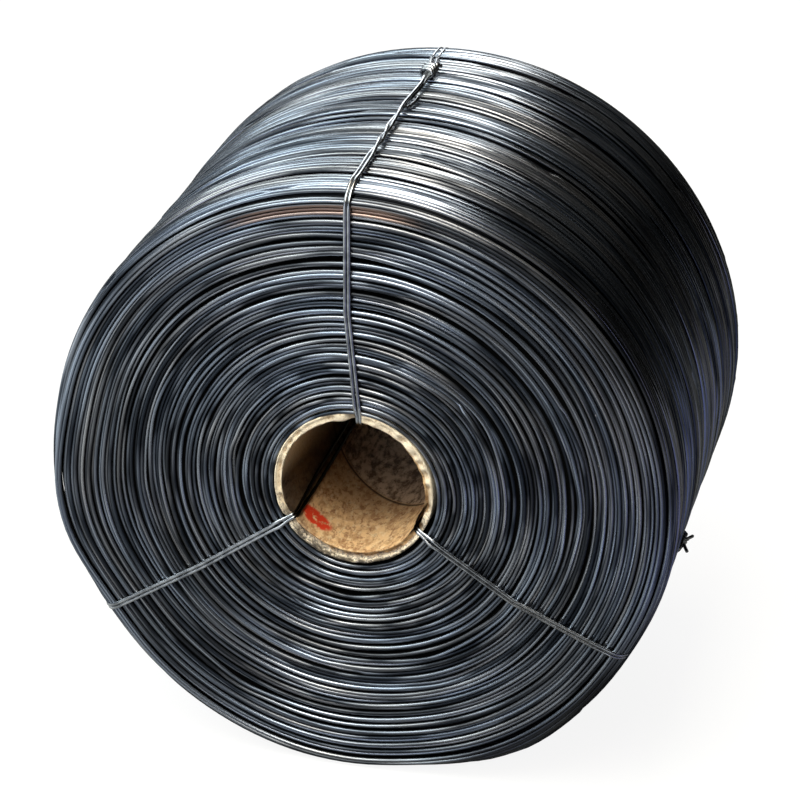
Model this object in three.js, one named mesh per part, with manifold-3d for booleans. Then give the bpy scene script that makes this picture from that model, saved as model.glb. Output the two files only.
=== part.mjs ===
// Coil of tying wire wound on a cardboard core and held by three doubled tie wires, lying on its side.
// Millimetres, +Z up. The coil's axis runs along Y, its front end faces -Y, and it rests on Z = 0.
import * as THREE from "three";
import { mergeVertices } from "three/addons/utils/BufferGeometryUtils.js";
import Module from "manifold-3d";

const wasm = await Module();
wasm.setup();

// Main sizes
const COIL_RADIUS = 108; // to the crests of the fullest part of the winding
const COIL_WIDTH = 150;
const WIRE = 1.24; // thickness of the wound wire, and of the tie wire
const CORE_BORE = 50;
const CORE_WALL = 3;
const GAP = 0.3; // left between pieces that touch
const SIDES = 40; // facets round the winding and the core, with one centred at the bottom

// The winding's end shoulders: how far each takes in the radius, and how far along the width it runs
const FRONT_SHOULDER = { radial: 6.4, axial: 10 };
const BACK_SHOULDER = { radial: 8.2, axial: 15 };
const WAIST = 0.45; // how much slimmer the winding is at the middle of its width
const BACK_SWELL = 0.25; // how much fuller it is behind the middle than in front
const INNER_EASE = 2; // the first layers next to the core stand this much back from the end face

// Grooves between the bands of turns: depth and half width, on the ends and round the outside
const END_GROOVE = { depth: 1, half: 0.75 };
const SIDE_GROOVE = { depth: 0.9, half: 0.75 };

// Bands of turns, as how many wires lie side by side between one groove and the next
const FRONT_BANDS = [3, 2, 4, 3, 2, 3, 4, 8, 2, 3, 4, 2, 3, 3, 2, 4, 2, 2];
const BACK_BANDS = [4, 5, 3, 5, 8, 4, 5, 3, 5, 4, 5, 4];
const SIDE_BANDS = [5, 8, 6, 4, 9, 6, 7, 5, 8, 6, 5, 9, 6, 7, 5, 8, 6, 8];

const coreRadius = CORE_BORE / 2 + CORE_WALL;
const boreRadius = CORE_BORE / 2;
const innerRadius = coreRadius + GAP;
const half = COIL_WIDTH / 2;
const frontFlat = COIL_RADIUS - FRONT_SHOULDER.radial;
const backFlat = COIL_RADIUS - BACK_SHOULDER.radial;
const bottomFacet = Math.cos(Math.PI / SIDES); // a facet's middle against its corners

// Radius of the winding's crests at y along the axis.
function crestRadius(y) {
  const front = (y + half) / FRONT_SHOULDER.axial;
  const back = (half - y) / BACK_SHOULDER.axial;
  if (front < 1) return frontFlat + FRONT_SHOULDER.radial * Math.sqrt(1 - (1 - front) ** 2.4);
  if (back < 1) return backFlat + BACK_SHOULDER.radial * Math.sqrt(1 - (1 - back) ** 2);
  const along = (y + half - FRONT_SHOULDER.axial)
    / (COIL_WIDTH - FRONT_SHOULDER.axial - BACK_SHOULDER.axial);
  return COIL_RADIUS - WAIST * Math.sin(Math.PI * along) ** 2 - BACK_SWELL * (1 - along);
}

// Splits the run from start to end into bands in proportion to their counts of wires.
function bandEdges(counts, start, end) {
  const total = counts.reduce((sum, n) => sum + n, 0);
  let done = 0;
  return counts.map((n) => {
    const from = start + ((end - start) * done) / total;
    done += n;
    return [from, start + ((end - start) * done) / total];
  });
}

// Points of one end of the winding, going outwards: flat crests at y and V grooves cut towards the middle.
function endProfile(counts, y, inward, flat) {
  const first = innerRadius + INNER_EASE;
  const points = [new THREE.Vector2(innerRadius, y + inward * INNER_EASE)];
  bandEdges(counts, first, flat).forEach(([from, to], i) => {
    points.push(new THREE.Vector2(i ? from + END_GROOVE.half : from, y));
    if (i === counts.length - 1) return;
    points.push(new THREE.Vector2(to - END_GROOVE.half, y));
    points.push(new THREE.Vector2(to, y + inward * END_GROOVE.depth));
  });
  return points;
}

// Points round the outside from the front rim to the back rim, with a V groove between the bands.
function sideProfile() {
  const points = [];
  const lean = 0.8; // the rim itself is a rounded edge, so the first and last points stand off the end planes
  bandEdges(SIDE_BANDS, -half, half).forEach(([from, to], i) => {
    const a = i ? from + SIDE_GROOVE.half : from;
    const b = i === SIDE_BANDS.length - 1 ? to : to - SIDE_GROOVE.half;
    if (i === 0) {
      points.push(new THREE.Vector2(frontFlat, -half));
      points.push(new THREE.Vector2(crestRadius(-half + lean), -half + lean));
      points.push(new THREE.Vector2(crestRadius(-half + 3 * lean), -half + 3 * lean));
    } else {
      points.push(new THREE.Vector2(crestRadius(a), a));
    }
    if (i === SIDE_BANDS.length - 1) {
      points.push(new THREE.Vector2(crestRadius(half - 4 * lean), half - 4 * lean));
      points.push(new THREE.Vector2(crestRadius(half - lean), half - lean));
      points.push(new THREE.Vector2(backFlat, half));
      return;
    }
    points.push(new THREE.Vector2(crestRadius(b), b));
    points.push(new THREE.Vector2(crestRadius(to) - SIDE_GROOVE.depth, to));
  });
  return points;
}

// Turns a closed profile of (radius, y) points about the coil's axis.
function turned(points) {
  const loop = [...points, points[0].clone()];
  return new THREE.LatheGeometry(loop, SIDES, Math.PI / SIDES, 2 * Math.PI);
}

// The winding: one turned body whose rings and grooves are the bands of turns.
function windingGeometry() {
  const front = endProfile(FRONT_BANDS, -half, 1, frontFlat);
  const back = endProfile(BACK_BANDS, half, -1, backFlat).reverse();
  return turned([...front, ...sideProfile(), ...back]);
}

// A geometry as a solid that can be cut and joined.
function solidFrom(geometry) {
  const bare = geometry.clone();
  bare.deleteAttribute("normal");
  bare.deleteAttribute("uv");
  const merged = mergeVertices(bare, 1e-4);
  return new wasm.Manifold(
    new wasm.Mesh({
      numProp: 3,
      vertProperties: new Float32Array(merged.attributes.position.array),
      triVerts: new Uint32Array(merged.index.array),
    }),
  );
}

// A solid as a geometry for a mesh.
function geometryFrom(solid) {
  const mesh = solid.getMesh();
  const geometry = new THREE.BufferGeometry();
  geometry.setAttribute("position", new THREE.BufferAttribute(mesh.vertProperties, 3));
  geometry.setIndex(new THREE.BufferAttribute(mesh.triVerts, 1));
  geometry.computeVertexNormals();
  return geometry;
}

// Ties: the angle each stands at, clockwise from the top seen from the front, and how it strays sideways
// (mm) at the core, half way up the end face, at the rim, along the outside and where it is closed.
// The top one is closed by a wire wrapped round it, the others by crossing their two ends.
const TIES = [
  {
    name: "tie_wire_top", angle: 0, wrapped: true,
    core: 1.5, face: -1.9, rim: -1.9, side: -3.6, knot: -2.9, knotAt: 0.69,
  },
  {
    name: "tie_wire_right", angle: 120.5, wrapped: false,
    core: 0, face: 1.9, rim: -2, side: -1.5, knot: -0.5, knotAt: 0.64,
  },
  {
    name: "tie_wire_left", angle: -122, wrapped: false,
    core: 0.7, face: -1.5, rim: -1.8, side: 0, knot: 0.8, knotAt: 0.6,
  },
];
const STAND_OFF = GAP + WIRE / 2; // centre of a tie strand above what it lies on
const NOTCH = 1.2; // how deep each tie has bitten into the ends of the core
// The wrap round the top tie: half its width and height, its length along the tie, how high its middle
// stands over the winding, and where the tie starts to rise to it
const WRAP = { across: 1.75, over: 1.15, length: 4.1, up: 2.3, reach: 8, turns: 3, steps: 8 };
// The crossing of the other ties: its height over the winding, and for the half from each end of the
// coil where it leaves the winding, where it stands on the way in and where it is cut off
const CROSS = {
  up: 5,
  overlap: 0.4,
  front: { foot: 14, lead: 7.4, leadUp: 4.2, tail: 8.3, tailUp: 6.7 },
  back: { foot: 12, lead: 5.3, leadUp: 2.5, tail: 4.9, tailUp: 7.2 },
};
const BEND = STAND_OFF + 0.06; // radius of a tie's bend into the bore
const SHOULDER_SLACK = 0.2; // a tie stands this much further off the rounded shoulders

// A path given by its own points. Each is a section of the swept wire, and the section's sideways
// direction is carried along from the first.
class WireRoute extends THREE.Curve {
  constructor(points, sideways) {
    super();
    this.points = points;
    this.sideways = sideways;
  }

  getSpacedPoints() {
    return this.points;
  }

  computeFrenetFrames() {
    const last = this.points.length - 1;
    const tangents = this.points.map((point, i) => {
      const before = point.clone().sub(this.points[Math.max(i - 1, 0)]).normalize();
      const after = this.points[Math.min(i + 1, last)].clone().sub(point).normalize();
      return before.add(after).normalize();
    });
    const across = this.sideways.clone();
    const normals = tangents.map((tangent) => {
      across.addScaledVector(tangent, -across.dot(tangent)).normalize();
      return across.clone();
    });
    const binormals = tangents.map((tangent, i) => tangent.clone().cross(normals[i]));
    return { tangents, normals, binormals };
  }
}

// Section of a doubled wire: two round strands side by side.
function doubledSection() {
  const r = WIRE / 2;
  const strand = [-150, -90, -30, 30, 90, 150].map((deg) => THREE.MathUtils.degToRad(deg));
  const right = strand.map((a) => new THREE.Vector2(r + r * Math.cos(a), r * Math.sin(a)));
  const left = strand.map((a) => new THREE.Vector2(-r - r * Math.cos(a), -r * Math.sin(a)));
  return new THREE.Shape([...right, ...left]);
}

// Half of a tie, from the middle of the bore out over one end and along the outside to where it is
// closed. end is -1 for the front half and 1 for the back half.
function tieHalf(tie, end) {
  const face = end * (half + STAND_OFF);
  const notchFloor = end * (half - NOTCH + STAND_OFF);
  const inBore = boreRadius - STAND_OFF;
  const flat = end < 0 ? frontFlat : backFlat;
  const shoulder = end < 0 ? FRONT_SHOULDER : BACK_SHOULDER;
  const outside = (y) => crestRadius(y) + STAND_OFF;
  const knotY = -half + tie.knotAt * COIL_WIDTH;
  const at = (x, y, z) => new THREE.Vector3(x, y, z);
  const points = [at(tie.core, -end * WIRE, inBore)];
  points.push(at(tie.core, end * half * 0.55, inBore - 0.4));
  // round the end of the core
  points.push(at(tie.core, notchFloor - end * BEND, inBore));
  points.push(at(tie.core, notchFloor - end * BEND * 0.29, inBore + BEND * 0.29));
  points.push(at(tie.core, notchFloor, inBore + BEND));
  points.push(at(tie.core, notchFloor, coreRadius - 0.4));
  // up the end face
  points.push(at(tie.core, face, innerRadius + INNER_EASE / 2));
  const middle = (innerRadius + flat) / 2;
  points.push(at((tie.core + tie.face) / 2, face, (innerRadius + middle) / 2));
  points.push(at(tie.face, face, middle));
  points.push(at((tie.face + tie.rim) / 2, face, (flat + middle) / 2));
  points.push(at(tie.rim, face, flat - 1));
  // over the shoulder
  for (const part of [0.02, 0.12, 0.34, 0.66]) {
    const y = end * (half - shoulder.axial * part);
    const slope = (crestRadius(y + 0.05) - crestRadius(y - 0.05)) / 0.1;
    const stretch = (STAND_OFF + SHOULDER_SLACK) / Math.hypot(slope, 1);
    points.push(at(tie.rim, y - slope * stretch, crestRadius(y) + stretch));
  }
  // along the outside, straight over the waist
  const ends = end < 0 ? CROSS.front : CROSS.back;
  const start = end * (half - shoulder.axial * 0.95);
  const foot = knotY + end * (tie.wrapped ? WRAP.reach : ends.foot);
  points.push(at(tie.rim, start, outside(start)));
  for (const part of [0.33, 0.66]) {
    const y = start + (foot - start) * part;
    const lean = Math.sin(part * Math.PI) * (end < 0 ? 1 : 0.2);
    const x = THREE.MathUtils.lerp(tie.rim, tie.knot, part) * (1 - lean) + tie.side * lean;
    points.push(at(x, y, Math.max(outside(y), outside(start) - 0.1)));
  }
  points.push(at(tie.knot, foot, outside(foot) + 0.1));
  const ground = COIL_RADIUS;
  if (tie.wrapped) {
    // through the wrap, and a little into the other half
    points.push(at(tie.knot, knotY + end * WRAP.length * 0.7, ground + WRAP.up));
    points.push(at(tie.knot, knotY - end * WIRE, ground + WRAP.up));
  } else {
    // up to the crossing, through the other half and on to the cut end
    points.push(at(tie.knot, knotY + end * ends.lead, ground + ends.leadUp));
    points.push(at(tie.knot, knotY, ground + CROSS.up - end * CROSS.overlap));
    points.push(at(tie.knot, knotY - end * ends.tail, ground + ends.tailUp));
  }
  const route = new WireRoute(points, new THREE.Vector3(1, 0, 0));
  return new THREE.ExtrudeGeometry(doubledSection(), {
    steps: points.length - 1,
    bevelEnabled: false,
    extrudePath: route,
  });
}

// The short wire wrapped round a tie, as a single strand.
function wrapGeometry(tie) {
  const knotY = -half + tie.knotAt * COIL_WIDTH;
  const count = WRAP.turns * WRAP.steps;
  const points = [];
  for (let i = 0; i <= count; i++) {
    const a = (2 * Math.PI * i) / WRAP.steps;
    const x = tie.knot + WRAP.across * Math.cos(a);
    const z = COIL_RADIUS + WRAP.up + WRAP.over * Math.sin(a);
    points.push(new THREE.Vector3(x, knotY + (i / count - 0.5) * WRAP.length, z));
  }
  const round = [0, 60, 120, 180, 240, 300].map((deg) => THREE.MathUtils.degToRad(deg));
  const section = round.map((a) => new THREE.Vector2(WIRE * 0.5 * Math.cos(a), WIRE * 0.5 * Math.sin(a)));
  return new THREE.ExtrudeGeometry(new THREE.Shape(section), {
    steps: count,
    bevelEnabled: false,
    extrudePath: new WireRoute(points, new THREE.Vector3(0, 1, 0)),
  });
}

// A whole tie: its two halves joined in the bore and where it is closed, stood at its angle.
function tieGeometry(tie) {
  let joined = solidFrom(tieHalf(tie, -1)).add(solidFrom(tieHalf(tie, 1)));
  if (tie.wrapped) joined = joined.add(solidFrom(wrapGeometry(tie)));
  return geometryFrom(joined).rotateY(THREE.MathUtils.degToRad(tie.angle));
}

// The core: a plain tube with a notch at each end where every tie has bitten in.
function coreGeometry() {
  const profile = [
    new THREE.Vector2(boreRadius, -half),
    new THREE.Vector2(coreRadius, -half),
    new THREE.Vector2(coreRadius, half),
    new THREE.Vector2(boreRadius, half),
  ];
  let tube = solidFrom(turned(profile));
  for (const tie of TIES) {
    for (const end of [-1, 1]) {
      const width = 2 * WIRE + 2 * GAP;
      const bite = new THREE.BoxGeometry(width + 1, 2 * NOTCH, 3 * CORE_WALL);
      bite.translate(tie.core, end * half, (boreRadius + coreRadius) / 2);
      bite.rotateY(THREE.MathUtils.degToRad(tie.angle));
      tube = tube.subtract(solidFrom(bite));
    }
  }
  return geometryFrom(tube);
}

const wireSteel = new THREE.MeshStandardMaterial({ color: 0x4a5058, metalness: 0.8, roughness: 0.42 });
const tieSteel = new THREE.MeshStandardMaterial({ color: 0x33373c, metalness: 0.8, roughness: 0.5 });
const board = new THREE.MeshStandardMaterial({ color: 0xb59468, metalness: 0, roughness: 0.9 });

const coil = new THREE.Group();
coil.name = "wire_coil";

function addPiece(name, geometry, material) {
  const mesh = new THREE.Mesh(geometry, material);
  mesh.name = name;
  coil.add(mesh);
}

addPiece("wire_winding", windingGeometry(), wireSteel);
addPiece("core_tube", coreGeometry(), board);
for (const tie of TIES) {
  addPiece(tie.name, tieGeometry(tie), tieSteel);
}

// The coil rests on its lowest facet.
coil.position.z = COIL_RADIUS * bottomFacet;

export default coil;
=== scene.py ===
"""Coil of black annealed tying wire on a cardboard core, held by three doubled tie wires."""
import math

import bpy
import numpy as np
from mathutils import Matrix, Vector


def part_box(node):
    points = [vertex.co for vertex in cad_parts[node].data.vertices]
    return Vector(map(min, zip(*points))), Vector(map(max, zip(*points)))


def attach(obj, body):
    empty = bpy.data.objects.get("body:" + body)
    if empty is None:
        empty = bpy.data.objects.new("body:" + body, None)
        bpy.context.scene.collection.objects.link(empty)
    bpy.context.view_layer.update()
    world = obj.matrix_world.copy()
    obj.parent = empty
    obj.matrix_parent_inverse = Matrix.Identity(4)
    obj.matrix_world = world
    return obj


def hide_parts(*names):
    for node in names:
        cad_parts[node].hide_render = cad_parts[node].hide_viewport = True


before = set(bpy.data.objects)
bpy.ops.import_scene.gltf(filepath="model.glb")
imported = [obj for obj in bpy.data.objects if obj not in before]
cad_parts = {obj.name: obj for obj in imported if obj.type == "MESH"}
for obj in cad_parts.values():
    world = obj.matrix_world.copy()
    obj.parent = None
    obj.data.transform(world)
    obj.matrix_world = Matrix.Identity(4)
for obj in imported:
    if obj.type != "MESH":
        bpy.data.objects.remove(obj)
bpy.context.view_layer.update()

# ---------------------------------------------------------------------------
# Core tube
# The winding sits on a spiral-wound cardboard tube. It is kraft board in glued plies, sawn off at
# the width of the coil, so its end shows as a pale torn ring. The ties have bitten into it.

MM = 0.001
low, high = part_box("wire_winding")
AXIS_Z = (low.z + high.z) / 2
HALF_WIDTH = high.y
CORE_RADIUS = 28.0 * MM
CORE_WALL = 3.0 * MM
END_INSETS = (0.5 * MM, 0.7 * MM)
CUTS_FROM_END = (0.6, 1.4, 2.5, 4, 6, 9, 14, 22, 36, 54)  # millimetres
TIE_ANGLES = {"top": 0.0, "right": math.radians(120.5), "left": math.radians(-122)}
rng = np.random.RandomState(7)  # a fixed seed, so that every run gives the same coil


def colour(hex_code):
    """An sRGB hex colour as linear red, green, blue and alpha."""
    parts = [int(hex_code[i:i + 2], 16) / 255 for i in (1, 3, 5)]
    linear = [p / 12.92 if p <= 0.04045 else ((p + 0.055) / 1.055) ** 2.4 for p in parts]
    return (*linear, 1.0)


def set_inputs(node, inputs):
    """Fills a node's inputs. Each is a socket to link from, a hex colour or a plain value."""
    for name, value in inputs.items():
        if isinstance(value, bpy.types.NodeSocket):
            node.id_data.links.new(value, node.inputs[name])
        else:
            node.inputs[name].default_value = colour(value) if isinstance(value, str) else value


def add_node(tree, kind, inputs=None, stops=(), **settings):
    """A shader node with its settings and inputs. stops are the places and colours of a ramp."""
    node = tree.nodes.new(kind)
    for name, value in settings.items():
        setattr(node, name, value)
    for _ in stops[2:]:
        node.color_ramp.elements.new(0.5)
    for i, (position, shade) in enumerate(stops):
        node.color_ramp.elements[i].position = position
        node.color_ramp.elements[i].color = colour(shade)
    set_inputs(node, inputs or {})
    return node


def new_material(name):
    """A material with an empty Principled surface. Gives the material, its tree and its shader."""
    made = bpy.data.materials.new(name)
    made.use_nodes = True
    return made, made.node_tree, made.node_tree.nodes["Principled BSDF"]


def coil_places(tree):
    """A surface point's place, its x and y, its height over the axis and its distance from it."""
    place = add_node(tree, "ShaderNodeTexCoord").outputs["Object"]
    x, y, z = add_node(tree, "ShaderNodeSeparateXYZ", {"Vector": place}).outputs
    height = add_node(tree, "ShaderNodeMath", {0: z, 1: AXIS_Z}, operation="SUBTRACT").outputs[0]
    across = add_node(tree, "ShaderNodeCombineXYZ", {"X": x, "Y": height}).outputs[0]
    reach = add_node(tree, "ShaderNodeVectorMath", {0: across}, operation="LENGTH")
    return place, x, y, height, reach.outputs["Value"]


def within(tree, limits, share=1.0, mask=None):
    """How far a point lies inside all the limits, from 0 to share, times a mask if one is given.

    Each limit is a value, where it begins to count and where it counts in full."""
    for value, outside, inside in limits:
        ramp = add_node(tree, "ShaderNodeMapRange",
                        {"Value": value, "From Min": outside, "From Max": inside, "To Max": share},
                        interpolation_type="SMOOTHSTEP").outputs["Result"]
        share = 1.0
        if mask:
            product = add_node(tree, "ShaderNodeMath", {0: mask, 1: ramp}, operation="MULTIPLY")
            mask = product.outputs[0]
        else:
            mask = ramp
    return mask


def mottled(tree, place, size, start, full, detail=4, stretch=(1, 1, 1), shift=0.0, share=1.0):
    """Blotches of about this size, from 0 where their noise is at start to share at full."""
    moved = add_node(tree, "ShaderNodeMapping",
                     {"Vector": place, "Location": (shift, 0, 0), "Scale": stretch})
    noise = add_node(tree, "ShaderNodeTexNoise",
                     {"Vector": moved.outputs["Vector"], "Scale": 1 / size, "Detail": detail,
                      "Roughness": 0.65})
    levels = add_node(tree, "ShaderNodeMapRange",
                      {"Value": noise.outputs["Fac"], "From Min": start, "From Max": full,
                       "To Max": share})
    return levels.outputs["Result"]


def layered(tree, base, layers):
    """The base colour with each layer's colour laid over it in turn, as far as its mask says."""
    for top, mask in layers:
        mix = add_node(tree, "ShaderNodeMix", {0: mask, 6: base, 7: top}, data_type="RGBA")
        base = mix.outputs[2]
    return base


def round_coil(r, angle, y):
    """Points at a radius and an angle from the top about the coil's axis, at y along it."""
    return np.stack(np.broadcast_arrays(r * np.sin(angle), y, AXIS_Z + r * np.cos(angle)), -1)


bpy.ops.object.select_all(action="DESELECT")
bpy.ops.mesh.primitive_cylinder_add(vertices=180, radius=CORE_RADIUS, depth=2 * HALF_WIDTH,
                                    end_fill_type="NOTHING", location=(0, 0, AXIS_Z),
                                    rotation=(math.pi / 2, 0, 0))
core = bpy.context.object
core.name = "cardboard_core"
bpy.ops.object.transform_apply(location=True, rotation=True, scale=True)
wall = core.modifiers.new("wall", "SOLIDIFY")
wall.thickness = CORE_WALL
wall.offset = -1
bpy.ops.object.modifier_apply(modifier="wall")

# The sawn ends are inset twice, so that the plies can part. Rings of cuts, closer together near
# the ends, give the board the points to fray, bend and open by.
bpy.ops.object.mode_set(mode="EDIT")
bpy.ops.mesh.select_mode(type="FACE")
bpy.ops.mesh.select_all(action="DESELECT")
bpy.ops.object.mode_set(mode="OBJECT")
for face in core.data.polygons:
    face.select = abs(face.normal.y) > 0.9
bpy.ops.object.mode_set(mode="EDIT")
for inset in END_INSETS:
    bpy.ops.mesh.inset(thickness=inset)
for end in (-1, 1):
    for cut in CUTS_FROM_END:
        bpy.ops.mesh.select_all(action="SELECT")
        bpy.ops.mesh.bisect(plane_co=(0, end * (HALF_WIDTH - cut * MM), 0), plane_no=(0, 1, 0))
bpy.ops.object.mode_set(mode="OBJECT")

points = np.empty(len(core.data.vertices) * 3)
core.data.vertices.foreach_get("co", points)
x, y, z = points.reshape(-1, 3).T
r = np.hypot(x, z - AXIS_Z)
angle = np.arctan2(x, z - AXIS_Z)
outwards = np.sign(y)
from_end = HALF_WIDTH - np.abs(y)
at_front = y < 0
wall_at = np.clip((CORE_RADIUS - r) / CORE_WALL, 0, 1)  # 0 on the outside and 1 in the bore

# The saw left both ends ragged, and the plies have parted in the middle of the wall, most at the
# bottom. The outer ply has opened at the bottom of the front end.
ragged = sum(rng.normal() * np.cos(m * angle + rng.uniform(0, 6.28)) / math.sqrt(m)
             for m in range(2, 40))
frayed = sum(rng.normal() * np.cos(m * angle + rng.uniform(0, 6.28)) for m in range(9, 60, 3)) / 4
lip = np.exp(-from_end / (1.2 * MM))
parting = np.exp(-((wall_at - 0.5) / 0.2) ** 2) * (from_end < 0.3 * MM)
skins = np.abs(wall_at - 0.5) > 0.4
lowness = 0.5 - 0.5 * np.cos(angle - 0.2)
y -= outwards * lip * (0.16 * MM * ragged + 0.25 * MM * (1 - parting) * skins)
y -= outwards * parting * MM * np.clip(0.3 + 3.6 * lowness + 1.3 * frayed, 0, 5)
opening = (0.9 * MM * np.clip(-0.2 - np.cos(angle - 0.15), 0, 1) * np.exp(-from_end / (1.6 * MM))
           * at_front)
thinner = (0.4 * MM * np.clip(1 - np.cos(2 * angle - 0.9), 0, 2) / 2
           - 1.0 * MM * np.clip(-0.3 - np.cos(angle), 0, 1))
r += wall_at * (thinner + 0.12 * MM * frayed * lip) + (1 - wall_at) * opening
y -= (1 - wall_at) * opening

# Each tie has pressed a notch into the edge and a shallow groove into the wall behind it.
NOTCH_DEPTH = 1.9 * MM
GROOVE_DEPTH = 0.5 * MM
for tie_angle in TIE_ANGLES.values():
    beside = np.abs((angle - tie_angle + math.pi) % (2 * math.pi) - math.pi) * CORE_RADIUS
    y -= (outwards * NOTCH_DEPTH * np.exp(-(beside / (2.0 * MM)) ** 2)
          * np.exp(-from_end / (2.5 * MM)))
    r += (GROOVE_DEPTH * wall_at * np.exp(-(beside / (3 * MM)) ** 2)
          * np.exp(-from_end / (5 * MM)))

# Just above the right tie the inner ply has come loose at the front and bends into the bore.
LOOSE_ANGLE = math.radians(113)
LOOSE_HALF_ANGLE = math.radians(13)
LOOSE_LENGTH = 9 * MM
loose = (np.exp(-((angle - LOOSE_ANGLE) / LOOSE_HALF_ANGLE) ** 2)
         * np.exp(-from_end / LOOSE_LENGTH) * at_front)
r -= loose * MM * np.interp(wall_at, [0.3, 0.4, 0.6, 0.83, 1], [0, 0.3, 0.6, 1.0, 1.4])
y += loose * LOOSE_LENGTH * ((wall_at > 0.75) & (wall_at < 0.9))

# The front end has been squeezed a little and stands off centre.
SQUEEZED_BY = 0.022
OFF_CENTRE = (-0.4 * MM, 0, 1.0 * MM)
squeeze = np.exp(-from_end / (25 * MM)) * at_front
r *= 1 - SQUEEZED_BY * squeeze
points = round_coil(r, angle, y) + np.outer(squeeze, OFF_CENTRE)
core.data.vertices.foreach_set("co", points.ravel())
core.data.update()
bpy.ops.object.shade_smooth()

# Kraft board: soft matt brown paper. The inner ply is mottled, the sawn edge is pale and woolly,
# and past the spiral seam the ply has torn off and shows a dull grey-brown one.
kraft, tree, shader = new_material("kraft_cardboard")
place, sideways, along, height, reach = coil_places(tree)
around = add_node(tree, "ShaderNodeMath", {0: sideways, 1: height}, operation="ARCTAN2").outputs[0]

SEAM_LEAD = 97.2 * MM  # how far the seam runs along the tube in one turn
SEAM_START = 15.8 * MM
turns_along = add_node(tree, "ShaderNodeMath",
                       {0: along, 1: 1 / SEAM_LEAD, 2: -SEAM_START / SEAM_LEAD},
                       operation="MULTIPLY_ADD")
turns = add_node(tree, "ShaderNodeMath",
                 {0: around, 1: -1 / (2 * math.pi), 2: turns_along.outputs[0]},
                 operation="MULTIPLY_ADD")
past_seam = add_node(tree, "ShaderNodeMath", {0: turns.outputs[0]}, operation="FRACT").outputs[0]
torn_stretch = [(past_seam, 0.0, 0.012), (past_seam, 0.5, 0.36)]
torn_ply = layered(tree, "#bea388", [
    ("#54402f", mottled(tree, place, 2.6 * MM, 0.42, 0.6, 5, (1, 0.5, 2.0), 11.0))])

DRAWN_OUT = (1, 0.5, 1)  # the inner ply's blotches are longer along the tube than round it
board = layered(tree, "#d9b282", [
    ("#8f623b", mottled(tree, place, 3.2 * MM, 0.44, 0.62, 4, DRAWN_OUT, share=0.7)),
    ("#7d4e2c", mottled(tree, place, 1.5 * MM, 0.53, 0.61, 3, DRAWN_OUT, 3.0, 0.65)),
    ("#e2c9a0", mottled(tree, place, 1.5 * MM, 0.54, 0.66, 2, DRAWN_OUT, 7.0, 0.55)),
    # Painted shade: deeper in the bore the board is darker.
    ("#5c3d22", within(tree, [(along, -60 * MM, -34 * MM)], 0.45)),
    (torn_ply, within(tree, torn_stretch, 0.9)),
    ("#2e1e12", within(tree, [(past_seam, 0.98, 0.994)], 0.9))])

# Painted shade: the wall is darkened on one side, from the left tie round over the top.
SHADED_WALL_MIDDLE = math.radians(-38)
from_shaded_middle = add_node(tree, "ShaderNodeMath", {0: around, 1: -SHADED_WALL_MIDDLE}, operation="ADD")
off_shaded_middle = add_node(tree, "ShaderNodeMath", {0: from_shaded_middle.outputs[0]}, operation="ABSOLUTE")
painted_wall_shade = within(tree, [(off_shaded_middle.outputs[0], math.radians(92), math.radians(78))], 0.85)
wall_shade_colour = layered(tree, "#170e07", [("#2e1c0e", mottled(tree, place, 2.2 * MM, 0.4, 0.62, shift=13.0))])

# A smear of red marking ink lies near the front edge of the bore.
INK_ANGLE = math.radians(-137)
INK_HALF_ANGLE = math.radians(15)
INK_Y = -65.3 * MM
INK_HALF_LENGTH = 4.6 * MM
ink_round = add_node(tree, "ShaderNodeMath",
                     {0: around, 1: 1 / INK_HALF_ANGLE, 2: -INK_ANGLE / INK_HALF_ANGLE},
                     operation="MULTIPLY_ADD")
ink_along = add_node(tree, "ShaderNodeMath",
                     {0: along, 1: 1 / INK_HALF_LENGTH, 2: -INK_Y / INK_HALF_LENGTH},
                     operation="MULTIPLY_ADD")
ink_place = add_node(tree, "ShaderNodeCombineXYZ",
                     {"X": ink_round.outputs[0], "Y": ink_along.outputs[0]})
ink_reach = add_node(tree, "ShaderNodeVectorMath", {0: ink_place.outputs[0]}, operation="LENGTH")
inked = within(tree, [(ink_reach.outputs["Value"], 1.2, 0.85)],
               mask=mottled(tree, place, 1.9 * MM, 0.33, 0.47, 3, shift=5.0))

# The sawn edge is pale and grubbier towards the bottom. The groove where its plies have parted is
# painted dark as shade.
sawn = within(tree, [(reach, 25.1 * MM, 25.5 * MM)])
grubby = within(tree, [(height, 2 * MM, -14 * MM)], 0.9,
                mottled(tree, place, 0.9 * MM, 0.5, 0.58, shift=15.0))
edge = layered(tree, "#f4e4c9", [
    ("#bba079", mottled(tree, place, 1.1 * MM, 0.52, 0.68, shift=9.0, share=0.8)),
    ("#8a827e", grubby)])
painted_parting_shade = within(tree, [(reach, 25.9 * MM, 26.3 * MM), (reach, 27.5 * MM, 27.1 * MM),
                       (height, -12 * MM, -20 * MM)], 0.85,
                mottled(tree, place, 2.2 * MM, 0.36, 0.46, 3, shift=21.0))

# The loose ply shows its own sawn face. The crack between it and the wall is painted black as shade.
by_loose_ply = [(around, math.radians(96), math.radians(101)),
                (around, math.radians(130), math.radians(125))]
loose_face = within(tree, by_loose_ply + [(reach, 23.9 * MM, 24.2 * MM),
                                          (along, -72.9 * MM, -73.5 * MM)])
painted_crack_shade = within(tree, by_loose_ply + [(reach, 22.7 * MM, 23.0 * MM), (reach, 24.2 * MM, 23.8 * MM),
                                     (along, -70.5 * MM, -71.5 * MM)])
board = layered(tree, board, [(wall_shade_colour, painted_wall_shade), ("#cc3616", inked), (edge, sawn), ("#2a2018", painted_parting_shade),
                              (edge, loose_face), ("#120b06", painted_crack_shade)])

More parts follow.
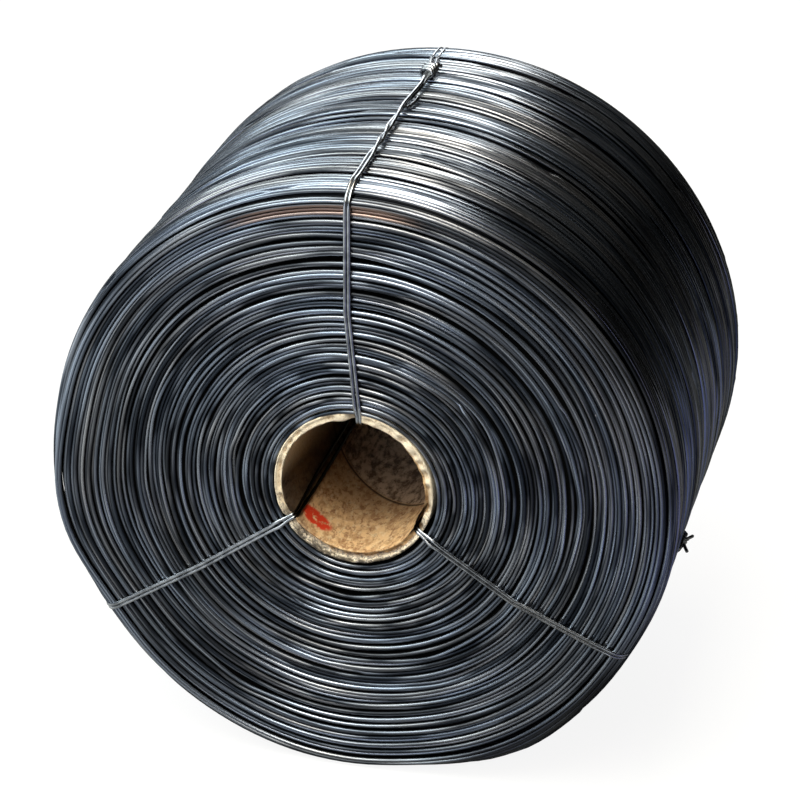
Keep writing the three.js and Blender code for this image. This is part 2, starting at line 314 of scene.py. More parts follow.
# The paper's nap is fine all over, and coarse where the ply has torn off.
fibre = mottled(tree, place, 0.35 * MM, 0.2, 0.8, 3, shift=1.0)
torn_fibre = mottled(tree, place, 1.6 * MM, 0.3, 0.7, 4, (1, 0.6, 1.6), 2.0)
nap = add_node(tree, "ShaderNodeMath", {0: within(tree, torn_stretch), 1: torn_fibre, 2: fibre},
               operation="MULTIPLY_ADD")
bump = add_node(tree, "ShaderNodeBump",
                {"Height": nap.outputs[0], "Strength": 0.6, "Distance": 0.25 * MM})
set_inputs(shader, {"Base Color": board, "Roughness": 0.92, "Specular IOR Level": 0.25,
                    "Normal": bump.outputs["Normal"]})
core.data.materials.append(kraft)
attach(core, "root")
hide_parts("core_tube")

# ---------------------------------------------------------------------------
# Winding
# One length of soft black annealed steel wire, wound in layers. The turns lie in bands with
# dark gaps between them where the wire strayed, and each layer's last turn shows on the ends.

WIRE = 1.24 * MM
PITCH = 1.27 * MM  # from turn to turn round the outside
LAYER = 1.14 * MM  # from layer to layer on the ends
COIL_RADIUS = 108.0 * MM
FRONT_ROUNDING = 6.4 * MM  # how much smaller than the coil the end's flat is
BACK_ROUNDING = 8.2 * MM
FRONT_SHOULDER = 10 * MM  # how far along the axis the rounding runs
BACK_SHOULDER = 15 * MM
FRONT_FLAT = COIL_RADIUS - FRONT_ROUNDING
BACK_FLAT = COIL_RADIUS - BACK_ROUNDING
WAIST = 0.45 * MM
TAPER = 0.25 * MM
INNER_LAYER = CORE_RADIUS + 0.3 * MM
STEPS = 144  # points in one turn


def crest_radius(y):
    """Radius of the outside of the winding at y along the axis."""
    front = (y + HALF_WIDTH) / FRONT_SHOULDER
    back = (HALF_WIDTH - y) / BACK_SHOULDER
    if front < 1:
        return FRONT_FLAT + FRONT_ROUNDING * math.sqrt(max(0, 1 - (1 - front) ** 2.4))
    if back < 1:
        return BACK_FLAT + BACK_ROUNDING * math.sqrt(max(0, 1 - (1 - back) ** 2))
    share = (y + HALF_WIDTH - FRONT_SHOULDER) / (2 * HALF_WIDTH - FRONT_SHOULDER - BACK_SHOULDER)
    return COIL_RADIUS - WAIST * math.sin(math.pi * share) ** 2 - TAPER * (1 - share)


# The skin as radius and y, from the core out over the front, along the outside and in over the back.
bend = 1 - np.cos(np.linspace(0.12, math.pi / 2, 14))
middle = np.linspace(-HALF_WIDTH + FRONT_SHOULDER, HALF_WIDTH - BACK_SHOULDER, 40)
outside = np.concatenate([-HALF_WIDTH + FRONT_SHOULDER * bend, middle[1:],
                          HALF_WIDTH - BACK_SHOULDER * bend[::-1][1:]])
SKIN = np.array([(INNER_LAYER, -HALF_WIDTH), (FRONT_FLAT, -HALF_WIDTH)]
                + [(crest_radius(y), y) for y in outside]
                + [(BACK_FLAT, HALF_WIDTH), (INNER_LAYER, HALF_WIDTH)])
SKIN_RUN = np.concatenate([[0], np.cumsum(np.hypot(*np.diff(SKIN, axis=0).T))])
FRONT_END = float(SKIN_RUN[1])  # where the front end's flat stops, as a distance along the skin
BACK_START = float(SKIN_RUN[-2])
SKIN_END = float(SKIN_RUN[-1])


def on_skin(run):
    """Radius, y and the outward normal of the skin at distances run along it."""
    r = np.interp(run, SKIN_RUN, SKIN[:, 0])
    y = np.interp(run, SKIN_RUN, SKIN[:, 1])
    step = 0.8 * MM
    dr = np.interp(run + step, SKIN_RUN, SKIN[:, 0]) - np.interp(run - step, SKIN_RUN, SKIN[:, 0])
    dy = np.interp(run + step, SKIN_RUN, SKIN[:, 1]) - np.interp(run - step, SKIN_RUN, SKIN[:, 1])
    size = np.hypot(dr, dy)
    return r, y, dy / size, -dr / size


# Between the ties the front rim bulges, and on the lower right the shoulder behind it bulges more:
# degrees round from the top, and how far in millimetres.
RIM_BULGE = [(120, 0.0), (136, 1.4), (150, 2.0), (160, 2.3), (169, 2.0), (183, 3.2), (196, 3.0),
             (222, 1.8), (237, 0.3), (242, 0.6), (250, 2.8), (259, 3.6), (268, 2.4), (277, 0.0)]
SHOULDER_BULGE = [(121, 0.0), (128, 1.0), (138, 2.3), (149, 4.8), (158, 3.2), (168, 0.6),
                  (178, 0.0)]
BULGE_EASING = (-6, -3, 0, 3, 6)  # degrees over which a bulge's values are averaged


def bulge_at(bulge, angle):
    """How far a bulge stands out at angles round the coil."""
    degrees, millimetres = zip(*bulge)
    return sum(np.interp(np.degrees(angle) % 360 + off, degrees, millimetres)
               for off in BULGE_EASING) / len(BULGE_EASING) * MM


def bulged(r, y, past_rim, angle):
    """The front rim's turns pushed out and forward. past_rim is how far past the flat they lie."""
    push = bulge_at(RIM_BULGE, angle)
    out = np.exp(-(past_rim / np.where(past_rim < 0, 20 * MM, 6 * MM)) ** 2)
    forward = 0.75 * np.exp(-((past_rim - 4 * MM) / (5 * MM)) ** 2)
    behind = bulge_at(SHOULDER_BULGE, angle)
    fuller = np.exp(-((past_rim - 10 * MM) / np.where(past_rim < 10 * MM, 7 * MM, 16 * MM)) ** 2)
    return r + push * out + behind * fuller, y - push * forward


def wander(count, keep, harmonics):
    """A smooth stray round the coil, about 1 in size, for each of count rows of turns.

    keep is how much a row takes after the one before it, from 0 to 1."""
    angle = np.linspace(0, 2 * math.pi, STEPS, endpoint=False)
    rows = []
    state = rng.normal(size=(2, harmonics))
    for _ in range(count):
        state = keep * state + math.sqrt(1 - keep ** 2) * rng.normal(size=(2, harmonics))
        rows.append(sum((state[0, m] * np.cos((m + 1) * angle)
                         + state[1, m] * np.sin((m + 1) * angle)) / (1 + 0.3 * m)
                        for m in range(harmonics)))
    return np.array(rows) / math.sqrt(harmonics)


def pushed_aside(count, often, size):
    """Short stretches where a turn has been pushed aside, this often on average in each row."""
    angle = np.linspace(0, 2 * math.pi, STEPS, endpoint=False)
    rows = np.zeros((count, STEPS))
    for row in rows:
        for _ in range(rng.poisson(often)):
            away = (angle - rng.uniform(0, 2 * math.pi) + math.pi) % (2 * math.pi) - math.pi
            push = rng.uniform(-1, 1) * size
            row += push * np.exp(-(away / math.radians(rng.uniform(6, 16))) ** 2)
    return rows


def space_turns(start, end, pitch, looseness, gap):
    """Each turn's place along the skin, its band's number and whether it is nested in its layer.

    looseness is the share of turns with a gap after them. Gaps are smaller near a start or end."""
    places, bands, nested = [], [], []
    run = start + WIRE / 2
    band = 0
    lies_low = False
    while run < end - WIRE / 2:
        places.append(run)
        bands.append(band)
        nested.append(lies_low)
        lies_low = not lies_low if rng.rand() < 0.85 else lies_low
        run += pitch
        if rng.rand() < looseness:
            band += 1
            room = min(1, max(0.2, min(run - start, end - run) / (9 * MM)))
            run += gap * rng.uniform(0.35, 1.0) * room
    return np.array(places)[:, None], np.array(bands), np.array(nested)[:, None], band + 1


def smooth_piece(name, points, rows):
    """A smooth piece of quads between rows of points that each run once round the coil."""
    a = rows[:, :-1]
    b = rows[:, 1:]
    faces = np.stack([a, np.roll(a, -1, 2), np.roll(b, -1, 2), b], -1).reshape(-1, 4)
    mesh = bpy.data.meshes.new(name)
    mesh.from_pydata(points.reshape(-1, 3).tolist(), [], faces.tolist())
    mesh.polygons.foreach_set("use_smooth", [True] * len(faces))
    made = bpy.data.objects.new(name, mesh)
    bpy.context.scene.collection.objects.link(made)
    return made


def lay_turns(name, start, end, pitch, looseness, gap, band_stray, turn_stray, sunk, nested,
              likeness, below=0.0):
    """Turns side by side over part of the skin, in bands that stray together.

    Every other turn is nested this much deeper than its neighbours, some lie sunk between the
    others for part of the way round, and a crowded turn rides up on the last one. below is how
    far under the skin they all lie. The attribute "lay" gives the place round the coil and the
    turn's number, which counts less the more alike neighbouring turns are."""
    places, band, low_turn, band_count = space_turns(start, end, pitch, looseness, gap)
    n = len(places)
    band_way = wander(band_count, 0.7, 6) * band_stray
    freedom = np.clip(np.minimum(places - start, end - places) / (11 * MM), 0.1, 1)
    run = places + freedom * (band_way[band] + wander(n, 0.15, 18) * turn_stray)
    run += freedom * pushed_aside(n, 1.2, 5 * turn_stray)
    sinking = np.maximum(0, rng.normal(size=(n, 1)) * 0.7 + wander(n, 0.1, 5) * 0.8 - 0.1)
    height = -WIRE / 2 - sunk * np.minimum(sinking, 1.6) - low_turn * nested - below
    for i in range(1, n):
        run[i] = np.maximum(run[i], run[i - 1] + 0.72 * WIRE)
        tight = np.clip(1 - (run[i] - run[i - 1]) / WIRE, 0, 0.28)
        crossed = WIRE * np.sqrt(1 - (1 - tight) ** 2)
        apart = height[i] - height[i - 1]
        raised = np.minimum(height[i - 1] + crossed, 0.25 * MM - WIRE / 2 - below)
        height[i] = np.where(np.abs(apart) >= crossed, height[i],
                             np.where(apart > 0, raised, height[i - 1] - crossed))

    # A turn is the five upper sides of a round wire. Its lower sides are never seen.
    angle = np.linspace(0, 2 * math.pi, STEPS, endpoint=False)
    r, y, nr, ny = on_skin(np.clip(run, start, end))
    r, y = bulged(r + height * nr, y + height * ny, run - FRONT_END, angle)
    r, y, nr, ny = r[:, None], y[:, None], nr[:, None], ny[:, None]
    section = np.radians([-108, -62, -21, 21, 62, 108])[:, None]
    wire_r = r + WIRE / 2 * (np.cos(section) * nr - np.sin(section) * ny)
    wire_y = y + WIRE / 2 * (np.cos(section) * ny + np.sin(section) * nr)
    points = round_coil(wire_r, angle, wire_y)
    made = smooth_piece(name, points, np.arange(wire_r.size).reshape(wire_r.shape))
    lay = np.empty(points.shape)
    lay[..., 0] = 1.6 * np.cos(angle)
    lay[..., 1] = 1.6 * np.sin(angle)
    lay[..., 2] = (np.arange(n) * likeness + rng.uniform(0, 50))[:, None, None]
    attribute = made.data.attributes.new("lay", "FLOAT_VECTOR", "POINT")
    attribute.data.foreach_set("vector", lay.ravel())
    return made


# Black annealed steel: drawn wire with a thin dark oxide. It is a dark, smooth metal with a bluish
# cast that gives sharp lines of light. A turn's tone and gloss go with its own place in the coil.
annealed, tree, shader = new_material("black_annealed_steel_wire")
place, sideways, along, height, reach = coil_places(tree)
lay = add_node(tree, "ShaderNodeAttribute", attribute_name="lay").outputs["Vector"]
by_turn = add_node(tree, "ShaderNodeTexNoise",
                   {"Vector": lay, "Scale": 1.0, "Detail": 2.0, "Roughness": 0.6}).outputs["Fac"]
band_place = add_node(tree, "ShaderNodeMapping",
                      {"Vector": lay, "Scale": (0.8, 0.8, 0.22), "Location": (9.0, 0, 0)})
by_band = add_node(tree, "ShaderNodeTexNoise",
                   {"Vector": band_place.outputs["Vector"], "Scale": 1.0, "Detail": 2.0})
tone = add_node(tree, "ShaderNodeValToRGB", {"Fac": by_turn},
                [(0.4, "#33373c"), (0.62, "#a6abb0")], name="tone_of_turns")
cast = add_node(tree, "ShaderNodeValToRGB", {"Fac": by_band.outputs["Fac"]},
                [(0.36, "#fdf7f5"), (0.58, "#e9f1ff")])
oxide = add_node(tree, "ShaderNodeMix",
                 {0: 1.0, 6: tone.outputs["Color"], 7: cast.outputs["Color"]},
                 data_type="RGBA", blend_type="MULTIPLY").outputs[2]

# A few turns near the front edge have a thin brown bloom of rust. The lower right of the front
# shoulder is painted blacker as shade. Dust has settled in single specks.
rusty = within(tree, [(reach, 98.6 * MM, 99.2 * MM), (reach, 102.6 * MM, 101.8 * MM),
                      (sideways, 26 * MM, 6 * MM), (sideways, -48 * MM, -30 * MM),
                      (height, 50 * MM, 80 * MM), (along, -60 * MM, -66 * MM)], 0.7)
painted_shoulder_shade = within(tree, [(sideways, 22 * MM, 45 * MM), (height, -48 * MM, -66 * MM),
                        (reach, 102.5 * MM, 105 * MM)], 0.8)
SPECK_SPACING = 17 * MM
dust = add_node(tree, "ShaderNodeTexVoronoi", {"Vector": place, "Scale": 1 / SPECK_SPACING})
specks = within(tree, [(dust.outputs["Distance"], 0.034, 0.022)])
oxide = layered(tree, oxide, [("#ab9082", rusty), ("#232227", painted_shoulder_shade), ("#d8d4cc", specks)])

# Dark turns are duller than bright ones. A film of dried oil on the ends makes the wire there
# rougher, and a little less like bare metal.
dull = add_node(tree, "ShaderNodeMapRange", {"Value": by_turn, "From Min": 0.4, "From Max": 0.6,
                                             "To Min": 0.32, "To Max": 0.16})
from_middle = add_node(tree, "ShaderNodeMath", {0: along}, operation="ABSOLUTE").outputs[0]
film = within(tree, [(from_middle, HALF_WIDTH - 5 * MM, HALF_WIDTH - 1 * MM)])
roughness = add_node(tree, "ShaderNodeMath", {0: film, 1: 0.08, 2: dull.outputs["Result"]},
                     operation="MULTIPLY_ADD")
bare = add_node(tree, "ShaderNodeMapRange",
                {"Value": from_middle, "From Min": HALF_WIDTH - 5 * MM,
                 "From Max": HALF_WIDTH - 2 * MM, "To Min": 1.0, "To Max": 0.91})
set_inputs(shader, {"Base Color": oxide, "Roughness": roughness.outputs[0],
                    "Metallic": bare.outputs["Result"]})

END_LAY = {"pitch": LAYER, "looseness": 0.28, "gap": 0.9 * MM, "band_stray": 0.4 * MM,
           "turn_stray": 0.22 * MM, "sunk": 0.3 * MM, "nested": 1.1 * MM, "likeness": 1.7}
SIDE_LAY = {"pitch": PITCH, "looseness": 0.24, "gap": 2.9 * MM, "band_stray": 1.3 * MM,
            "turn_stray": 0.26 * MM, "sunk": 0.4 * MM, "nested": 0.0, "likeness": 0.6}
BELOW_LAY = {"pitch": PITCH, "looseness": 0.1, "gap": 0.8 * MM, "band_stray": 0.8 * MM,
             "turn_stray": 0.15 * MM, "sunk": 0.2 * MM, "nested": 0.0, "likeness": 0.9,
             "below": 1.5 * MM}
front_turns = lay_turns("wire_turns_front_end", 0, FRONT_END, **END_LAY)
side_turns = lay_turns("wire_turns_outside", FRONT_END, BACK_START, **SIDE_LAY)
back_turns = lay_turns("wire_turns_back_end", BACK_START, SKIN_END, **END_LAY)
below_turns = lay_turns("wire_turns_below_outside", FRONT_END + 4 * MM, BACK_START - 4 * MM,
                        **BELOW_LAY)

# The layer below shows in the gaps. It is the same wire, painted nearly black as shade in the gaps.
shaded_below_steel = annealed.copy()
shaded_below_steel.name = "black_annealed_steel_painted_shade"
shaded_below_tones = shaded_below_steel.node_tree.nodes["tone_of_turns"].color_ramp.elements
shaded_below_tones[0].color = colour("#060607")
shaded_below_tones[1].color = colour("#131416")

# Steel wire in shadow: the layers under those are too deep for light, and look matt black.
deep, _, shader = new_material("steel_wire_in_shadow")
set_inputs(shader, {"Base Color": "#060606", "Roughness": 0.9, "Specular IOR Level": 0.1})

PACKED_DEPTH = 3.4 * MM
PACKED_STEPS = 96
skin_r, skin_y, skin_nr, skin_ny = on_skin(SKIN_RUN)
packed_r = skin_r - PACKED_DEPTH * skin_nr
packed_y = skin_y - PACKED_DEPTH * skin_ny
packed_r[[0, -1]] = INNER_LAYER
packed_y[[0, -1]] = -HALF_WIDTH + PACKED_DEPTH, HALF_WIDTH - PACKED_DEPTH
packed_angle = np.linspace(0, 2 * math.pi, PACKED_STEPS, endpoint=False)
packed_points = round_coil(packed_r[:, None], packed_angle, packed_y[:, None])
packed_rows = np.arange(packed_r.size * PACKED_STEPS).reshape(-1, PACKED_STEPS)
packed = smooth_piece("packed_turns_below", packed_points,
                      np.concatenate([packed_rows, packed_rows[:1]])[None])

for piece, finish in ((front_turns, annealed), (side_turns, annealed), (back_turns, annealed),
                      (below_turns, shaded_below_steel), (packed, deep)):
    piece.data.materials.append(finish)
    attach(piece, "root")
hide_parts("wire_winding")

# ---------------------------------------------------------------------------
# Tie wires
# Three doubled lengths of the same soft wire, passed through the bore and round the winding, pulled
# tight and closed on the outside: the top one is wrapped, the others are hooked and twisted.

REST = WIRE / 2 - 0.05 * MM  # from what a wire is pressed against to its middle
BORE = CORE_RADIUS - CORE_WALL


def run_at(y_mm):
    """How far along the skin the outside of the winding is at y, given in millimetres."""
    return float(np.interp(y_mm * MM, SKIN[1:-1, 1], SKIN_RUN[1:-1]))


def eased(points, step, spread):
    """Points joined by straight lines, resampled evenly and rounded at the bends."""
    points = np.asarray(points, float)
    run = np.concatenate([[0], np.cumsum(np.linalg.norm(np.diff(points[:, :3], axis=0), axis=1))])
    fine_step = 0.2 * MM
    fine = np.arange(0, run[-1], fine_step)
    rows = np.stack([np.interp(fine, run, column) for column in points.T], -1)
    half = int(spread / fine_step)
    weights = np.hanning(2 * half + 3)[1:-1]
    weights /= weights.sum()
    padded = np.concatenate([2 * rows[:1] - rows[half:0:-1], rows,
                             2 * rows[-1:] - rows[-2:-half - 2:-1]])
    soft = np.stack([np.convolve(column, weights, "valid") for column in padded.T], -1)
    keep = max(1, round(step / fine_step))
    return np.concatenate([soft[:-1:keep], soft[-1:]])


def half_tie(end, core_x, stray, lift, turn, spread, stop):
    """Centre line of a doubled wire from the middle of the bore, over one end and along the outside.

    Its rows are x, y, radius, turn and spread. stray, lift, turn and spread are lists of distances
    along the skin, each with a value there: the pair's sideways place in millimetres, its height in
    millimetres, how many half turns it has made about itself, and how far each strand is from its
    centre line, where 1 is side by side."""
    squeezed = 0.6 * MM if end < 0 else 0
    loosely = spread[0][1] * REST
    x = core_x * MM
    in_bore = [(x, 0, BORE - REST - 0.4 * MM, 0, loosely),
               (x, end * HALF_WIDTH * 0.6, BORE - REST - 0.3 * MM, 0, loosely),
               (x, end * (HALF_WIDTH - 2.5 * MM), BORE - REST - squeezed, 0, REST * 1.1),
               (x, end * (HALF_WIDTH - 1.4 * MM + REST), BORE + 0.2 * MM, 0, REST),
               (x, end * (HALF_WIDTH - 1.2 * MM + REST), CORE_RADIUS - 0.6 * MM, 0, REST)]
    first = 2.6 * MM if end < 0 else SKIN_END - 2.6 * MM
    runs = np.linspace(first, stop, 110)
    r, y, nr, ny = on_skin(runs)
    aside, raised, half_turns, apart = [np.interp(runs, *np.array(knots).T)
                                        for knots in (stray, lift, turn, spread)]
    height = REST + raised * MM
    on_winding = np.stack([aside * MM, y + ny * height, r + nr * height, half_turns * math.pi,
                           apart * REST], -1)
    return np.concatenate([in_bore, on_winding])


def strand_pair(route):
    """The two strands beside a centre line, as points before the tie is stood at its angle."""
    place = route[:, :3]
    ahead = np.gradient(place, axis=0)
    ahead /= np.linalg.norm(ahead, axis=1)[:, None]
    beside = np.array([1.0, 0, 0]) - ahead[:, :1] * ahead
    beside /= np.linalg.norm(beside, axis=1)[:, None]
    above = np.cross(beside, ahead)
    offset = (np.cos(route[:, 3:4]) * beside + np.sin(route[:, 3:4]) * above) * route[:, 4:5]
    return place + offset, place - offset


def lay_wire(points, tie_angle):
    """A round wire along points given as x, y and radius, stood at an angle round the coil."""
    x, y, r = np.asarray(points).T
    c, s = math.cos(tie_angle), math.sin(tie_angle)
    world = np.stack([x * c + r * s, y, AXIS_Z - x * s + r * c, np.ones(len(x))], -1)
    curve = bpy.data.curves.new("strand", "CURVE")
    curve.dimensions = "3D"
    curve.bevel_depth = WIRE / 2
    curve.bevel_resolution = 3
    curve.use_fill_caps = True
    spline = curve.splines.new("POLY")
    spline.points.add(len(world) - 1)
    spline.points.foreach_set("co", world.ravel())
    made = bpy.data.objects.new("strand", curve)
    bpy.context.scene.collection.objects.link(made)
    return made


def join_wires(name, wires):
    """The wires of one tie as one mesh."""
    bpy.ops.object.select_all(action="DESELECT")
    for wire in wires:
        wire.select_set(True)
    bpy.context.view_layer.objects.active = wires[0]
    bpy.ops.object.convert(target="MESH")
    bpy.ops.object.join()
    made = bpy.context.object
    made.name = name
    bpy.ops.object.shade_smooth()
    return made


# The top tie is a doubled loop. Its strands twist about each other along the outside, and a short
# wire is wrapped three times round them behind the middle.
LOOP_X = 1.5  # the loop's x in the bore, in millimetres
knot = run_at(32.5)
stray = [(0, LOOP_X), (FRONT_END * 0.5, -1.9), (FRONT_END, -1.7), (run_at(-60), -1.3),
         (run_at(-36), -1.4), (run_at(-18), -1.8), (run_at(0), -2.0), (run_at(20), -0.6),
         (knot, -1.2), (run_at(42), -2.2), (run_at(54), -4.4), (BACK_START, -4.4),
         (SKIN_END, LOOP_X)]
lift = [(0, 0), (FRONT_END - 2 * MM, -0.1), (FRONT_END + 5 * MM, -0.35), (run_at(-60), 0.5),
        (run_at(-40), 1.4), (run_at(-20), 1.7), (run_at(10), 1.8), (knot, 2.2), (run_at(42), 1.3),
        (run_at(49), 0.5), (run_at(55), -1.1), (BACK_START, -1.2), (SKIN_END, 0)]
turn = [(0, 0), (run_at(-46), 0), (run_at(-36), 0.5), (run_at(-31), 1), (run_at(-25), 1.5),
        (run_at(-18), 2), (run_at(-5), 2.45), (run_at(18), 2.55), (knot, 3), (SKIN_END, 3)]
spread = [(0, 1.35), (FRONT_END * 0.3, 1.15), (FRONT_END, 1.1), (run_at(-46), 1.15), (knot, 1),
          (run_at(40), 1.7), (run_at(60), 1.9), (SKIN_END, 1.2)]
front_half = half_tie(-1, LOOP_X, stray, lift, turn, spread, knot)
back_half = half_tie(1, LOOP_X, stray, lift, turn, spread, knot)
back_half[:5, 3] = 3 * math.pi  # in the bore it keeps the turns that it has made by the knot
loop = eased(np.concatenate([front_half, back_half[::-1][1:-1]]), 1.0 * MM, 1.6 * MM)
top_wires = [lay_wire(strand, TIE_ANGLES["top"]) for strand in strand_pair(loop)]

WRAP_X = -1.3 * MM
WRAP_TURNS = 3.1
WRAP_LENGTH = 7.6 * MM
WRAP_HALF_WIDTH = 2.1 * MM
WRAP_HALF_HEIGHT = 1.7 * MM
WRAP_SQUARENESS = 0.75  # below 1 the wrap is squarer than an ellipse
wrap_r, wrap_y = on_skin(knot)[:2]
a = np.linspace(0, 2 * math.pi * WRAP_TURNS, 90)
wrap = np.stack([WRAP_X + WRAP_HALF_WIDTH * np.sign(np.cos(a)) * np.abs(np.cos(a)) ** WRAP_SQUARENESS,
                 wrap_y + (a / a[-1] - 0.5) * WRAP_LENGTH,
                 wrap_r + 2.8 * MM
                 + WRAP_HALF_HEIGHT * np.sign(np.sin(a)) * np.abs(np.sin(a)) ** WRAP_SQUARENESS], -1)
wrap_end = [wrap[-1] + np.array([0.6, 1.0, -0.7]) * MM, wrap[-1] + np.array([1.5, 1.6, -1.2]) * MM]
top_wires.append(lay_wire(np.concatenate([wrap, wrap_end]), TIE_ANGLES["top"]))

# A cut end lies along the top of the coil in front of the wrap: x, y and height in millimetres.
CUT_END = [(-1.3, -1.0, 1.4), (-0.2, 2.5, 1.3), (0.5, 5.5, 1.5), (0.9, 8.5, 1.9)]
cut_end = [(x * MM, y * MM, np.interp(y * MM, SKIN[1:-1, 1], SKIN[1:-1, 0]) + h * MM)
           for x, y, h in CUT_END]
top_wires.append(lay_wire(eased(cut_end, 0.5 * MM, 0.6 * MM), TIE_ANGLES["top"]))
ties = {"tie_wire_top": join_wires("tie_at_top", top_wires)}

# The other two are each two doubled ends, hooked round each other and left standing as a cross.
# A row gives the tie's x in the bore, on the end, at the rim and at the knot, how high it lies at
# the rim, and its knot's y, in millimetres.
HOOKED_TIES = {"right": (0.0, 1.9, -2.0, -0.5, -1.1, 21.0),
               "left": (0.7, -1.5, -1.8, 0.8, -0.2, 15.0)}
# For the front and the back half: the y past the knot where it leaves the winding, then the y past
# the knot and the height where its hook starts, and those of its tip, in millimetres.
HOOKED_ENDS = {-1: (-14, (-7.4, 4.2), (9.7, 7.5)), 1: (12, (5.3, 2.5), (-5.4, 7.6))}
SHORTER_BY = 9  # one strand of each end is cut shorter by this many points
for side, (core_x, face_x, rim_x, knot_x, rim_lift, knot_y) in HOOKED_TIES.items():
    knot = run_at(knot_y)
    ground = on_skin(knot)[0]
    stray = [(0, core_x), (FRONT_END * 0.5, face_x), (FRONT_END, rim_x), (knot, knot_x),
             (BACK_START, -rim_x), (SKIN_END, core_x)]
    lift = [(0, 0), (FRONT_END - 6 * MM, 0), (FRONT_END, rim_lift * 0.45),
            (FRONT_END + 5 * MM, rim_lift), (FRONT_END + 12 * MM, rim_lift), (run_at(-45), 0),
            (SKIN_END, 0)]
    turn = [(0, 0), (SKIN_END, 0)]
    spread = [(0, 2.3), (6 * MM, 1.2), (FRONT_END * 0.4, 1.12), (FRONT_END, 1.1), (SKIN_END, 1.1)]
    wires = []
    for end, (leaving, hook_start, tip) in HOOKED_ENDS.items():
        route = half_tie(end, core_x, stray, lift, turn, spread, run_at(knot_y + leaving))
        hook = [(knot_x * MM, (knot_y + hook_start[0]) * MM, ground + hook_start[1] * MM, 0, REST)]
        for t in np.linspace(-1, 1, 9):
            hook.append((knot_x * MM + end * 1.0 * MM * math.cos(math.pi * t),
                         (knot_y - end * 2.6 * t) * MM,
                         ground + (5.0 + 0.95 * math.sin(math.pi * t)) * MM, 0, REST))
        hook.append((knot_x * MM - end * 0.8 * MM, (knot_y + tip[0]) * MM,
                     ground + tip[1] * MM, 0.5, REST * 1.2))
        long, short = strand_pair(eased(np.concatenate([route, hook]), 1.0 * MM, 1.6 * MM))
        wires += [lay_wire(long, TIE_ANGLES[side]), lay_wire(short[:-SHORTER_BY], TIE_ANGLES[side])]
    ties["tie_wire_" + side] = join_wires("tie_at_" + side, wires)

# The same annealed steel as the winding, rubbed brighter where it has been pulled and twisted, and
# painted nearly black as shade inside the bore.
tie_steel, tree, shader = new_material("black_annealed_steel_tie")
place, *_, reach = coil_places(tree)
RUBBED_PATCH = 3 * MM
rubbed = add_node(tree, "ShaderNodeTexNoise",
                  {"Vector": place, "Scale": 1 / RUBBED_PATCH, "Detail": 3.0})
rubbed_tone = add_node(tree, "ShaderNodeValToRGB", {"Fac": rubbed.outputs["Fac"]},
                       [(0.35, "#8b8e92"), (0.62, "#bfc2c5")]).outputs["Color"]
# Painted shade: inside the bore the tie's colour is nearly black.
in_bore = within(tree, [(reach, 25.5 * MM, 24.6 * MM)])
set_inputs(shader, {"Base Color": layered(tree, rubbed_tone, [("#17140f", in_bore)]),
                    "Metallic": 1.0, "Roughness": 0.24})
for node_name, tie in ties.items():
    tie.data.materials.clear()
    tie.data.materials.append(tie_steel)
    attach(tie, "root")
    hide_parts(node_name)

# ---------------------------------------------------------------------------
# Floor, light and camera
# The coil lies on a white studio floor under softboxes. The floor looks white, but in the wire's
# reflections it glows as a painted dim room: pale on the left and dark on the right, with a bluish
# stretch and paler patches.

FLOOR_SIZE = 6
FLOOR_Z = -0.5 * MM
bpy.ops.mesh.primitive_plane_add(size=FLOOR_SIZE, location=(0, 0, FLOOR_Z))
floor = bpy.context.object
floor.name = "floor"
pale_floor, tree, shader = new_material("pale_floor")
set_inputs(shader, {"Base Color": "#5f5f5e", "Roughness": 0.85, "Specular IOR Level": 0.0})
path = add_node(tree, "ShaderNodeLightPath")
place = add_node(tree, "ShaderNodeTexCoord").outputs["Object"]
sideways, along, _ = add_node(tree, "ShaderNodeSeparateXYZ", {"Vector": place}).outputs
across = add_node(tree, "ShaderNodeMapRange", {"Value": sideways, "From Min": -0.6, "From Max": 0.6})
room = add_node(tree, "ShaderNodeValToRGB", {"Fac": across.outputs["Result"]},
                [(0.1, "#eef4f8"), (0.5, "#30302f"), (0.72, "#242525"), (0.95, "#2a2b2d")])
bluish = within(tree, [(sideways, 0.1, 0.2), (sideways, 0.5, 0.35), (along, 0.05, -0.15)])
before_coil = within(tree, [(sideways, -0.08, -0.04), (sideways, 0.035, 0.0),
                            (along, -0.11, -0.15), (along, -0.29, -0.23)])
bright_patch = within(tree, [(sideways, 0.08, 0.10), (sideways, 0.15, 0.13),
                             (along, -0.18, -0.20), (along, -0.28, -0.25)])
mirror_tone = layered(tree, room.outputs["Color"], [
    ("#22348a", bluish), ("#b4bac0", before_coil), ("#eef4ff", bright_patch)])
mirror_strength = add_node(tree, "ShaderNodeMapRange",
                           {"Value": bright_patch, "To Min": 1.0, "To Max": 2.0})
mirrored = add_node(tree, "ShaderNodeEmission",
                    {"Color": mirror_tone, "Strength": mirror_strength.outputs["Result"]})
white = add_node(tree, "ShaderNodeEmission", {"Strength": 0.9})
seen = add_node(tree, "ShaderNodeMixShader",
                {"Fac": path.outputs["Is Camera Ray"], 1: mirrored.outputs[0], 2: white.outputs[0]})
either = add_node(tree, "ShaderNodeMath",
                  {0: path.outputs["Is Camera Ray"], 1: path.outputs["Is Glossy Ray"]},
                  operation="MAXIMUM")
lit_and_seen = add_node(tree, "ShaderNodeAddShader", {0: shader.outputs[0], 1: seen.outputs[0]})
whole = add_node(tree, "ShaderNodeMixShader",
                 {"Fac": either.outputs[0], 1: shader.outputs[0], 2: lit_and_seen.outputs[0]})
set_inputs(tree.nodes["Material Output"], {"Surface": whole.outputs[0]})
floor.data.materials.append(pale_floor)

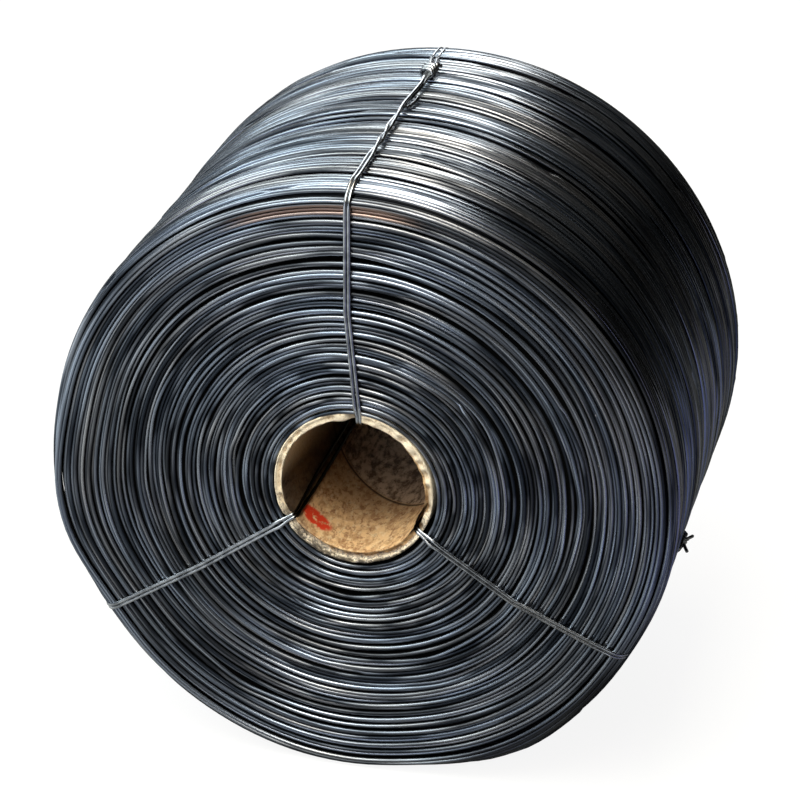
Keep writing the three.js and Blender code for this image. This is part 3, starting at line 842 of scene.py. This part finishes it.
# The studio behind the floor is white to the camera, and gives the coil next to no light.
scene = bpy.context.scene
scene.view_settings.view_transform = "Standard"
world = bpy.data.worlds.new("studio")
scene.world = world
world.use_nodes = True
tree = world.node_tree
path = add_node(tree, "ShaderNodeLightPath")
world_strength = add_node(tree, "ShaderNodeMapRange",
                          {"Value": path.outputs["Is Camera Ray"], "To Min": 0.0015, "To Max": 1.0})
set_inputs(tree.nodes["Background"],
           {"Color": "#ffffff", "Strength": world_strength.outputs["Result"]})

# Softboxes: place, the point it faces, width and height in metres, watts and tint. The ones over
# the coil draw the lines of light on the crests, and the low one fills the front end's flanks.
SOFTBOXES = {
    "overhead_softbox": ((0.0, -0.10, 1.25), (0.0, -0.10, 0), 0.4, 1.2, 10, "#fff2de"),
    "overhead_front_softbox": ((-0.05, -1.20, 1.25), (-0.05, -1.20, 0), 0.8, 1.2, 19, "#fff7ea"),
    "low_front_softbox": ((-0.55, -1.50, 0.36), (0, 0, 0.1), 1.45, 0.62, 3.8, "#e3ebff"),
    "right_back_softbox": ((0.79, 0.34, 0.98), (0, 0, 0.15), 1.0, 0.5, 0.15, "#fff6e6"),
    "high_left_softbox": ((-0.72, -0.45, 1.20), (-0.60, -0.45, 0), 0.95, 1.9, 25, "#f0fbf6"),
    "left_front_softbox": ((-0.95, -0.85, 1.12), (0, -0.05, 0.1), 1.2, 0.8, 5, "#f4fbf8"),
    "back_softbox": ((-0.55, 1.35, 0.75), (0, 0, 0.2), 1.3, 0.6, 11, "#f6fbff"),
    "left_softbox": ((-1.45, 0.05, 0.65), (0, 0, 0.15), 1.1, 0.8, 1.6, "#eaf5fb")}
for name, (stand, aim, width, length, watts, tint) in SOFTBOXES.items():
    lamp = bpy.data.lights.new(name, "AREA")
    lamp.shape = "RECTANGLE"
    lamp.size = width
    lamp.size_y = length
    lamp.energy = watts
    lamp.color = colour(tint)[:3]
    softbox = bpy.data.objects.new(name, lamp)
    scene.collection.objects.link(softbox)
    softbox.location = stand
    softbox.rotation_euler = (Vector(aim) - Vector(stand)).to_track_quat("-Z", "Y").to_euler()

# The camera stands in front, above the coil and a little to the right, and looks down on it.
CAMERA_RIGHT = (0.9689, 0.2475, 0.0)
CAMERA_UP = (-0.1085, 0.4246, 0.8988)
CAMERA_BACK = (0.2225, -0.8709, 0.4384)
CAMERA_PLACE = (0.2392, -0.9497, 0.5836)
camera = bpy.data.cameras.new("camera")
camera.lens = 138.1
camera.sensor_width = 36
camera_object = bpy.data.objects.new("camera", camera)
scene.collection.objects.link(camera_object)
rows = zip(CAMERA_RIGHT, CAMERA_UP, CAMERA_BACK, CAMERA_PLACE)
camera_object.matrix_world = Matrix([*rows, (0, 0, 0, 1)])
scene.camera = camera_object
